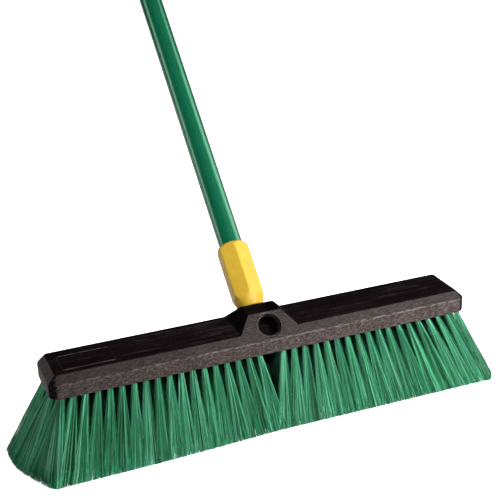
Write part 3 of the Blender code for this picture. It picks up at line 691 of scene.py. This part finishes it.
# ---------------------------------------------------------------- bristles
SIDES = 4
LEVELS = (TRIM + 0.0090, TRIM, 0.0760, 0.0580, 0.0380, 0.0180, 0.0)
PER_TUFT = 150
PER_FRONT_TUFT = 260
PER_END_TUFT = 270
WISPS = 64
TONES = 16
STRAND_R = 0.00025
SPREAD_X, SPREAD_Y = 0.0118, 0.0096
# the trimmed footprint: its front edge as (x, y), and its ends as (y, x); the left one slants back
FRONT_LINE = ((-0.2700, -0.0470), (-0.2300, -0.0472), (-0.1300, -0.0460), (-0.0700, -0.0440),
              (0.0, -0.0405), (0.0900, -0.0412), (0.2750, -0.0425))
LEFT_LINE = ((-0.0475, -0.2365), (-0.0402, -0.2445), (-0.0235, -0.2535), (-0.0098, -0.2600),
             (0.0065, -0.2665), (0.0240, -0.2685), (0.0440, -0.2692))
RIGHT_LINE = ((-0.0440, 0.2570), (-0.0400, 0.2620), (-0.0268, 0.2710), (0.0, 0.2725), (0.0440, 0.2715))


def tuft_strands(row, x, rng):
    """Centre lines (strand, level, xyz) and tones for one tuft: straight fans that mix with their
    neighbours, held inside the trimmed footprint."""
    levels = np.array(LEVELS)
    share = np.clip((TRIM - levels) / TRIM, -0.11, 1.0)
    s = np.clip(share, 0, 1)
    root, tip = np.array(root_of(row, x)), np.array(tip_of(row, x))
    outer = abs(x) > 0.2
    n = PER_END_TUFT if outer else (PER_FRONT_TUFT if row == 0 else PER_TUFT)
    k = np.arange(n)
    radius = np.sqrt((k + 0.5) / n)
    angle = k * 2.399963 + rng.uniform(0, 6.28)
    disc = np.stack([radius * np.cos(angle), radius * np.sin(angle)], 1)
    # at the tips the bundle fills a soft-cornered square
    square = disc / np.maximum(np.abs(np.cos(angle)), np.abs(np.sin(angle)))[:, None] ** 0.8
    wisps = WISPS + 36 if row == 0 else WISPS
    seeds = square[rng.choice(n, wisps, replace=False)]
    wisp = np.argmin(((square[:, None] - seeds[None]) ** 2).sum(2), 1)
    clump = (0.02 if outer else 0.12) if row == 0 or outer else 0.38
    tips = square * (1 - clump) + seeds[wisp] * clump + rng.normal(0, 0.018, (n, 2))
    drift = rng.normal(0, 0.0007, (wisps, 2))[wisp]
    across = SPREAD_Y * (1.22 if outer else 1.0)
    end = np.zeros((n, 2))
    end[:, 0] = tip[0] + tips[:, 0] * SPREAD_X * (1.15 if outer else (0.90 if row == 0 else 1.0))
    end[:, 1] = tip[1] + tips[:, 1] * across
    # the outermost filaments crowd up to the trimmed outline
    if row == 0:
        front = np.interp(end[:, 0], [p[0] for p in FRONT_LINE], [p[1] for p in FRONT_LINE])
        depth = np.clip(0.5 + 0.5 * tips[:, 1], 0.0, 1.0) ** 2.5
        end[:, 1] = front + depth * (tip[1] + across - front)
    if outer:
        line = LEFT_LINE if x < 0 else RIGHT_LINE
        edge = np.interp(end[:, 1], [p[0] for p in line], [p[1] for p in line])
        depth = np.clip(0.5 - 0.5 * tips[:, 0] * (-1 if x < 0 else 1), 0.0, 1.0) ** 1.7
        inner = tip[0] + SPREAD_X * (1.0 if x < 0 else -1.0)
        end[:, 0] = edge + depth * (inner - edge)
    edge_left = np.interp(end[:, 1], [p[0] for p in LEFT_LINE], [p[1] for p in LEFT_LINE])
    edge_right = np.interp(end[:, 1], [p[0] for p in RIGHT_LINE], [p[1] for p in RIGHT_LINE])
    room = rng.uniform(0.0, 0.0060, n)
    end[:, 0] = np.where(end[:, 0] < edge_left, edge_left + room, end[:, 0])
    end[:, 0] = np.where(end[:, 0] > edge_right, edge_right - room, end[:, 0])
    start = root[None, :2] + disc * (0.00235 if row == 0 and not outer else 0.00285)
    # the inner rows open sooner, so that no light comes through under the block
    opening = (1.0 if x < 0 else 0.86, 0.76) if outer else ((1.08, 1.0) if row == 0 else (0.80, 0.80))
    bend = rng.normal(0, 0.00045, (n, 2)) + drift
    stray = rng.random(n) < 0.06
    bend[stray] *= 2.5
    wave = rng.normal(0, 0.00018, (n, 2))
    phase = rng.uniform(0, 6.28, (n, 2))
    freq = rng.uniform(1.0, 2.2, (n, 1))
    lines = np.zeros((n, len(levels), 3))
    hole = np.clip(-share, 0, 1)[None, :]
    middle = root[None, :2] + (tip - root)[None, :2]
    lean = (tip - root)[:2]
    # beside the middle gap the inner rows' filaments spring out into the free space
    spring = np.zeros((n, 1))
    if row > 0 and abs(x) < 0.021:
        inward = np.clip(-tips[:, :1] * np.sign(x), 0.0, 1.2)
        spring = -np.sign(x) * inward * rng.uniform(0.5, 1.0, (n, 1)) * (0.0150 if row % 2 == 0 else 0.0200)
    for c in (0, 1):
        centre = root[c] + lean[c] * s[None, :]
        out0, out1 = (start[:, c:c + 1] - root[c]), (end[:, c:c + 1] - middle[:, c:c + 1])
        fan = out0 + (out1 - out0) * (s ** opening[c])[None, :]
        if c == 0:
            fan = fan + spring * (np.minimum(s, 0.32) / 0.32 * (1.0 - 0.55 * s))[None, :]
        bow = bend[:, c:c + 1] * 2.0 * s * (1.0 - s) + bend[:, c:c + 1] * 0.4 * s ** 2
        ripple = wave[:, c:c + 1] * np.sin(6.283 * freq * s + phase[:, c:c + 1]) * np.sqrt(s)
        lines[:, :, c] = centre + fan + bow + ripple - lean[c] * hole
        # half way down, the filaments of a wisp cling together; at the trimmed tips they part again
        cling = (seeds[wisp] - square)[:, c:c + 1] * (SPREAD_X, across)[c] * (0.34 if row == 0 or outer else 0.14)
        lines[:, :, c] += cling * np.sin(np.pi * np.minimum(s, 1.0) ** 1.15)[None, :]
    lines[:, :, 2] = levels[None, :]
    lines[:, -1, 2] = rng.uniform(0.0, 0.0004, n) + np.where(rng.random(n) < 0.05,
                                                             rng.uniform(0, 0.0012, n), 0)
    shade = rng.normal(0, 4.0, wisps)
    # painted shade: one wisp in six is painted much darker, standing in for the shaded lines between filaments
    shade[rng.random(wisps) < 0.16] -= 6.5
    tone = rng.normal(8.9, 2.6, n) + shade[wisp] + rng.normal(0, 0.5)
    # painted shade: the filaments along a front tuft's sides are painted darker, for the shade its neighbours
    # cast
    if row == 0:
        tone -= 3.0 * np.clip((np.abs(tips[:, 0]) - 0.62) / 0.30, 0.0, 1.0)
    tone = np.clip(tone, 0, TONES - 1).astype(int)
    return lines, tone


def bristle_piece(name, row, stations, mat, rng):
    verts, faces, uvs = [], [], []
    count = 0
    angles = 2 * np.pi * np.arange(SIDES) / SIDES
    for station in stations:
        lines, tone = tuft_strands(row, station, rng)
        n, levels = lines.shape[:2]
        taper = np.linspace(1.0, 0.86, levels)
        taper[-1] = 0.84
        ring = np.stack([np.cos(angles), np.sin(angles), np.zeros(SIDES)], 1) * STRAND_R
        points = lines[:, :, None, :] + ring[None, None] * taper[None, :, None, None]
        verts.append(points.reshape(-1, 3))
        per = levels * SIDES
        i, j, k = np.meshgrid(np.arange(n), np.arange(levels - 1), np.arange(SIDES), indexing="ij")
        k2 = (k + 1) % SIDES
        base = count + i * per
        quad = np.stack([base + j * SIDES + k, base + (j + 1) * SIDES + k,
                         base + (j + 1) * SIDES + k2, base + j * SIDES + k2], -1).reshape(-1, 4)
        v = np.clip((TRIM + 0.009 - np.array(LEVELS)) / (TRIM + 0.009), 0, 1)
        u0 = (tone[:, None, None] + 0.1 + 0.8 * k / SIDES) / TONES
        u1 = (tone[:, None, None] + 0.1 + 0.8 * (k + 1) / SIDES) / TONES
        va, vb = v[j] * 0.96 + 0.02, v[j + 1] * 0.96 + 0.02
        uv = np.stack([np.stack([u0, va], -1), np.stack([u0, vb], -1),
                       np.stack([u1, vb], -1), np.stack([u1, va], -1)], -2).reshape(-1, 4, 2)
        faces.append(quad)
        uvs.append(uv)
        count += n * per
        # caps
        first = (count - n * per) + np.arange(n)[:, None] * per
        tip = first + (levels - 1) * SIDES + np.arange(SIDES)[None]
        root = first + np.arange(SIDES)[None, ::-1]
        mid = (tone + 0.5) / TONES
        flare = np.stack([np.cos(angles), np.sin(angles)], 1) * 0.004
        cap_uv = lambda v0: np.stack([mid[:, None] + flare[None, :, 0],
                                      np.full((n, SIDES), v0) + flare[None, :, 1]], -1)
        faces.append(("caps", tip, cap_uv(0.985), root, cap_uv(0.015)))
    coordinates = np.concatenate(verts)
    loops, sizes, layer = [], [], []
    for item in faces:
        if isinstance(item, tuple):
            _, tip, uv_tip, root, uv_root = item
            for ring, uv in ((tip, uv_tip), (root, uv_root)):
                loops.append(ring.reshape(-1))
                sizes.append(np.full(len(ring), SIDES))
                layer.append(uv.reshape(-1, 2))
        else:
            uv = uvs.pop(0)
            loops.append(item.reshape(-1))
            sizes.append(np.full(len(item), 4))
            layer.append(uv.reshape(-1, 2))
    loops = np.concatenate(loops).astype(np.int32)
    sizes = np.concatenate(sizes).astype(np.int32)
    layer = np.concatenate(layer).astype(np.float32)
    mesh = bpy.data.meshes.new(name)
    mesh.vertices.add(len(coordinates))
    mesh.vertices.foreach_set("co", coordinates.astype(np.float32).reshape(-1))
    mesh.loops.add(len(loops))
    mesh.loops.foreach_set("vertex_index", loops)
    mesh.polygons.add(len(sizes))
    mesh.polygons.foreach_set("loop_start", (np.cumsum(sizes) - sizes).astype(np.int32))
    mesh.update(calc_edges=True)
    uv_layer = mesh.uv_layers.new(name="OFBake")
    uv_layer.data.foreach_set("uv", layer.reshape(-1))
    mesh.validate()
    mesh.materials.append(mat)
    mesh.shade_smooth()
    mesh.set_sharp_from_angle(angle=math.radians(80))
    ob = bpy.data.objects.new(name, mesh)
    scene.collection.objects.link(ob)
    return ob


def make_bristles(mat):
    for row in range(ROWS):
        right = tuft_roots(row)
        line = [-x for x in reversed(right)] + right
        half = len(right)
        sizes = [GROUP] * (half // GROUP) + ([half % GROUP] if half % GROUP else [])
        cuts = [0]
        for size in list(reversed(sizes)) + sizes:
            cuts.append(cuts[-1] + size)
        for k, (a, b) in enumerate(zip(cuts, cuts[1:])):
            node = f"bristles_row{row + 1}_{'abcdef'[k]}"
            rng = np.random.RandomState(1000 + row * 20 + k)
            piece = bristle_piece(f"filaments_row{row + 1}_{'abcdef'[k]}", row, line[a:b], mat, rng)
            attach(piece, "head")
            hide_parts(node)


# ---------------------------------------------------------------- handle
def hex_radius(a):
    """Distance from the axis to the rounded hexagon in direction a."""
    step = math.radians(60)
    b = (a - COLLAR_TURN) % step
    if b > step / 2:
        b = step - b
    # b is the angle from the nearest long edge, 0 at the edge and 30 degrees at the flat's middle
    flat = COLLAR_FLAT_R / math.cos(step / 2 - b)
    centre = (COLLAR_FLAT_R - COLLAR_EDGE_R) / math.cos(step / 2)
    inside = COLLAR_EDGE_R ** 2 - (centre * math.sin(b)) ** 2
    if inside > 0:
        arc = centre * math.cos(b) + math.sqrt(inside)
        touch = math.atan2(COLLAR_EDGE_R * math.sin(math.radians(30)),
                           centre + COLLAR_EDGE_R * math.cos(math.radians(30)))
        if b <= touch:
            return arc
    return flat


def soft_min(a, b, k):
    h = max(k - abs(a - b), 0.0) / k
    return min(a, b) - h * h * k * 0.25


def make_collar(mat):
    corner = COLLAR_FLAT_R / math.cos(math.radians(30))
    turned = [(COLLAR_T0, 0.0124), (COLLAR_T0 + 0.0006, 0.0131),
              (COLLAR_T0 + 0.0163, corner + 0.0002), (COLLAR_T1 - 0.0068, corner + 0.0002),
              (COLLAR_T1 - 0.0032, corner - 0.0012), (COLLAR_T1 - 0.0008, corner - 0.0030),
              (COLLAR_T1, corner - 0.0044)]

    def turned_r(t):
        for (t0, r0), (t1, r1) in zip(turned, turned[1:]):
            if t <= t1:
                return r0 + (r1 - r0) * (t - t0) / (t1 - t0)
        return turned[-1][1]

    levels = [COLLAR_T0, COLLAR_T0 + 0.0002, COLLAR_T0 + 0.0004, COLLAR_T0 + 0.0006]
    levels += list(np.linspace(COLLAR_T0 + 0.0012, COLLAR_T0 + 0.0198, 42))
    levels += list(np.linspace(COLLAR_T0 + 0.0228, COLLAR_T1 - 0.0100, 16))
    levels += list(np.linspace(COLLAR_T1 - 0.0085, COLLAR_T1 - 0.0008, 22))
    levels += [COLLAR_T1 - 0.0005, COLLAR_T1 - 0.0002, COLLAR_T1]
    steps = 240
    rings = []
    for t in levels:
        limit = turned_r(t)
        rings.append([(soft_min(hex_radius(2 * math.pi * k / steps), limit, 0.0007), t)
                      for k in range(steps)])
    bore = TUBE_R + GAP
    neck = NECK_R + GAP
    for r, t in ((bore + 0.0006, COLLAR_T1), (bore + 0.0002, COLLAR_T1 - 0.00015),
                 (bore, COLLAR_T1 - 0.0006), (bore, COLLAR_FLOOR), (neck, COLLAR_FLOOR),
                 (neck, COLLAR_T0 + 0.0003), (neck + 0.0003, COLLAR_T0)):
        rings.append([(r, t)] * steps)
    bm = bmesh.new()
    loops = []
    for ring in rings:
        loops.append([bm.verts.new((r * math.cos(2 * math.pi * k / steps),
                                    r * math.sin(2 * math.pi * k / steps), t))
                      for k, (r, t) in enumerate(ring)])
    for a, b in zip(loops, loops[1:] + loops[:1]):
        for i in range(steps):
            j = (i + 1) % steps
            bm.faces.new((a[i], a[j], b[j], b[i]))
    collar = new_object("collar_shell", bm)
    on_axis(collar)
    return finish_mesh(collar, mat, 40)


def make_stem(mat):
    stem = new_object("stem_screw", screw_body(STEM_MAJOR_R, STEM_MINOR_R, STEM_CREST,
                                               STEM_TIP, THREAD_TOP + 0.002))
    stem.data.transform(Matrix.Translation((0, 0, -(SOCKET_CREST - STEM_CREST) / 2)))
    trim = [(0.0, STEM_TIP), (STEM_MINOR_R - 0.0004, STEM_TIP), (STEM_MAJOR_R + 0.0006, STEM_TIP + 0.0022),
            (STEM_MAJOR_R + 0.0006, THREAD_TOP), (0.0, THREAD_TOP)]
    combine(stem, new_object("trim", lathe(trim, 96, 0.37)), "INTERSECT")
    tidy(stem)
    upper = [(0.0, THREAD_TOP - 0.0020), (STEM_MINOR_R - 0.0005, THREAD_TOP - 0.0020),
             (STEM_MINOR_R - 0.0005, THREAD_TOP - 0.0004), (NECK_R, THREAD_TOP + 0.0004),
             (NECK_R, COLLAR_FLOOR + GAP), (SPIGOT_R, COLLAR_FLOOR + GAP),
             (SPIGOT_R, SPIGOT_T1 - 0.001), (SPIGOT_R - 0.001, SPIGOT_T1), (0.0, SPIGOT_T1)]
    combine(stem, new_object("upper", lathe(upper, 96, 0.19)), "UNION")
    tidy(stem)
    bore = [(0.0, CORE_T0 - GAP), (CORE_R + GAP, CORE_T0 - GAP), (CORE_R + GAP, SPIGOT_T1 + 0.002),
            (0.0, SPIGOT_T1 + 0.002)]
    combine(stem, new_object("bore", lathe(bore, 48, 0.29)), "DIFFERENCE")
    tidy(stem)
    on_axis(stem)
    return finish_mesh(stem, mat, 30)


def make_tube(mat):
    inner = TUBE_R - TUBE_WALL
    wall = [(TUBE_R - 0.00015, TUBE_T0), (TUBE_R, TUBE_T0 + 0.0003)]
    wall += [(TUBE_R, t) for t in np.linspace(0.02, TUBE_T1 - 0.002, 60)]
    wall += [(TUBE_R, TUBE_T1 - 0.0003), (TUBE_R - 0.00015, TUBE_T1), (inner, TUBE_T1), (inner, TUBE_T0)]
    tube = new_object("tube_wall", lathe(wall, 128))
    on_axis(tube)
    return finish_mesh(tube, mat, 40)


def make_cap(mat):
    inner = TUBE_R - TUBE_WALL
    over = TUBE_R + GAP
    shape = [(0.0, CAP_PLUG_T0), (inner - GAP, CAP_PLUG_T0), (inner - GAP, TUBE_T1 + GAP),
             (over, TUBE_T1 + GAP), (over, CAP_T0), (CAP_R - 0.0005, CAP_T0),
             (CAP_R, CAP_T0 + 0.0008), (CAP_R, CAP_T1 - 0.0110), (CAP_R - 0.0018, CAP_T1 - 0.0055),
             (CAP_R - 0.0054, CAP_T1 - 0.0014), (0.0, CAP_T1)]
    shape = shape[:5] + soften(shape[4:], 0.0022, 5)[1:]
    cap = new_object("cap_shell", lathe(shape, 96, 0.19))
    for side in (-1, 1):
        bm = bmesh.new()
        bmesh.ops.create_cube(bm, size=1.0)
        bm.transform(Matrix.Translation((side * (CAP_FLAT_X + 0.01), 0, CAP_T1 - 0.0035))
                     @ Matrix.Diagonal((0.02, 0.04, 0.0260, 1.0)))
        combine(cap, new_object("flat", bm), "DIFFERENCE")
    r = HANG_HOLE_R
    profile = ((0.0, -0.02), (r + 0.0112, -0.02), (r, -CAP_FLAT_X + 0.0007), (r, CAP_FLAT_X - 0.0007),
               (r + 0.0112, 0.02), (0.0, 0.02))
    hole = new_object("hole", lathe(profile, 64, 0.37))
    hole.data.transform(Matrix.Translation((0, 0, HANG_HOLE_T)) @ Matrix.Rotation(math.radians(90), 4, "Y"))
    combine(cap, hole, "DIFFERENCE")
    tidy(cap)
    on_axis(cap)
    return finish_mesh(cap, mat, 32, weighted=True)


# ---------------------------------------------------------------- studio
def area_light(name, place, target, size, power, glossy=True, diffuse=True):
    data = bpy.data.lights.new(name, "AREA")
    data.shape = "RECTANGLE"
    data.size, data.size_y = size
    data.energy = power
    ob = bpy.data.objects.new(name, data)
    scene.collection.objects.link(ob)
    ob.location = place
    ob.rotation_euler = (Vector(target) - Vector(place)).to_track_quat("-Z", "Y").to_euler()
    ob.visible_glossy = glossy
    ob.visible_diffuse = diffuse
    ob.visible_camera = False
    return ob


def make_floor():
    """A broad pale sheet, faintly uneven in tone."""
    bm = bmesh.new()
    bmesh.ops.create_grid(bm, x_segments=24, y_segments=24, size=6.0)
    floor = new_object("studio_floor", bm)
    floor.location = (0.8, 2.0, -0.0002)
    n = Nodes("floor_pale")
    cloud = n.noise(n.coords(), 3.0, 3.0, 0.5)
    colour = n.ramp(cloud, ((0.3, (0.84, 0.84, 0.84)), (0.7, (0.87, 0.87, 0.87))))
    n.set(Base_Color=colour, Roughness=0.75, Specular_IOR_Level=0.1)
    # the camera sees the sheet a little brighter than the light it throws back
    path = n.add("ShaderNodeLightPath")
    glow = n.math("MULTIPLY", path.outputs["Is Camera Ray"], FLOOR_LIFT)
    n.set(Emission_Color=(1.0, 1.0, 1.0), Emission_Strength=glow)
    floor.data.materials.append(n.mat)


FLOOR_LIFT = 0.92


def make_world():
    world = bpy.data.worlds.new("studio")
    scene.world = world
    world.use_nodes = True
    tree = world.node_tree
    for node in list(tree.nodes):
        tree.nodes.remove(node)
    link = tree.links.new
    coord = tree.nodes.new("ShaderNodeTexCoord")
    split = tree.nodes.new("ShaderNodeSeparateXYZ")
    link(coord.outputs["Generated"], split.inputs["Vector"])

    def ramp(value, a, b, c, d):
        node = tree.nodes.new("ShaderNodeMapRange")
        node.interpolation_type = "SMOOTHSTEP"
        link(value, node.inputs["Value"])
        for key, v in (("From Min", a), ("From Max", b), ("To Min", c), ("To Max", d)):
            node.inputs[key].default_value = v
        return node.outputs["Result"]

    # dark behind the object, brighter in front of it and overhead
    behind = ramp(split.outputs["Y"], -0.10, 0.55, 1.0, 0.03)
    level = tree.nodes.new("ShaderNodeMath")
    level.operation = "MULTIPLY"
    link(behind, level.inputs[0])
    level.inputs[1].default_value = 0.07
    shade = tree.nodes.new("ShaderNodeBackground")
    shade.inputs["Color"].default_value = (1.0, 0.99, 0.98, 1.0)
    link(level.outputs["Value"], shade.inputs["Strength"])
    seen = tree.nodes.new("ShaderNodeBackground")
    seen.inputs["Color"].default_value = (1.0, 1.0, 1.0, 1.0)
    seen.inputs["Strength"].default_value = 1.0
    path = tree.nodes.new("ShaderNodeLightPath")
    mix = tree.nodes.new("ShaderNodeMixShader")
    link(path.outputs["Is Camera Ray"], mix.inputs["Fac"])
    link(shade.outputs["Background"], mix.inputs[1])
    link(seen.outputs["Background"], mix.inputs[2])
    out = tree.nodes.new("ShaderNodeOutputWorld")
    link(mix.outputs["Shader"], out.inputs["Surface"])


def make_camera():
    right = Vector((0.92610905, -0.37591128, -0.03182363))
    up = Vector((0.17102408, 0.34315367, 0.923578))
    ahead = Vector((0.33626299, 0.86077655, -0.3820876))
    data = bpy.data.cameras.new("camera")
    data.lens = 78.516
    data.sensor_width = 36.0
    data.sensor_fit = "HORIZONTAL"
    data.clip_end = 50.0
    camera = bpy.data.objects.new("camera", data)
    scene.collection.objects.link(camera)
    camera.matrix_world = Matrix(((right.x, up.x, -ahead.x, -0.37933402),
                                  (right.y, up.y, -ahead.y, -0.94748619),
                                  (right.z, up.z, -ahead.z, 0.61242215),
                                  (0, 0, 0, 1)))
    scene.camera = camera


def main():
    black = block_material()
    green = bristle_material()
    yellow = collar_material()
    # painted shade: the stem takes the collar's yellow at 0.55, so its short neck under the collar reads as
    # shaded
    stem_shaded_yellow = collar_material("stem_yellow", 0.55)

    for piece, body, slot, node in (
            (make_block(black), "head", "block", "brush_block"),
            (make_collar(yellow), "handle", "collar", "hex_collar"),
            (make_stem(stem_shaded_yellow), "handle", "stem", "threaded_stem"),
            (make_tube(tube_material()), "handle", "tube", "handle_tube"),
            (make_cap(cap_material()), "handle", "cap", "hanger_cap")):
        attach(piece, body)
        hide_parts(node)
    make_bristles(green)

    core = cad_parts["stem_core"]
    steel = steel_material()
    core.data.materials.clear()
    core.data.materials.append(steel)

    make_floor()
    make_world()
    area_light("key", (0.48, -0.70, 0.80), (0.04, 0.0, 0.08), (0.50, 0.50), 18.5)
    area_light("fill", (-1.2, -1.5, 1.0), (0.0, 0.0, 0.12), (0.9, 0.9), 8, glossy=False)
    area_light("strip_right", (1.9, 0.35, 1.05), (0.0, 0.3, 0.4), (0.85, 1.9), 22, diffuse=False)
    area_light("strip_left", (-1.9, 1.25, 0.75), (0.0, 0.3, 0.4), (0.45, 1.5), 9.5, diffuse=False)
    area_light("rear", (-0.9, 2.3, 1.3), (0.0, 0.2, 0.2), (1.2, 1.2), 30, glossy=False)
    area_light("overhead", (0.5, -0.2, 2.4), (0.0, 0.1, 0.0), (2.0, 2.0), 20, glossy=False)
    make_camera()
    scene.view_settings.view_transform = "Standard"
    scene.view_settings.look = "None"
    scene.view_settings.exposure = 0.0
    scene.view_settings.gamma = 1.0


main()
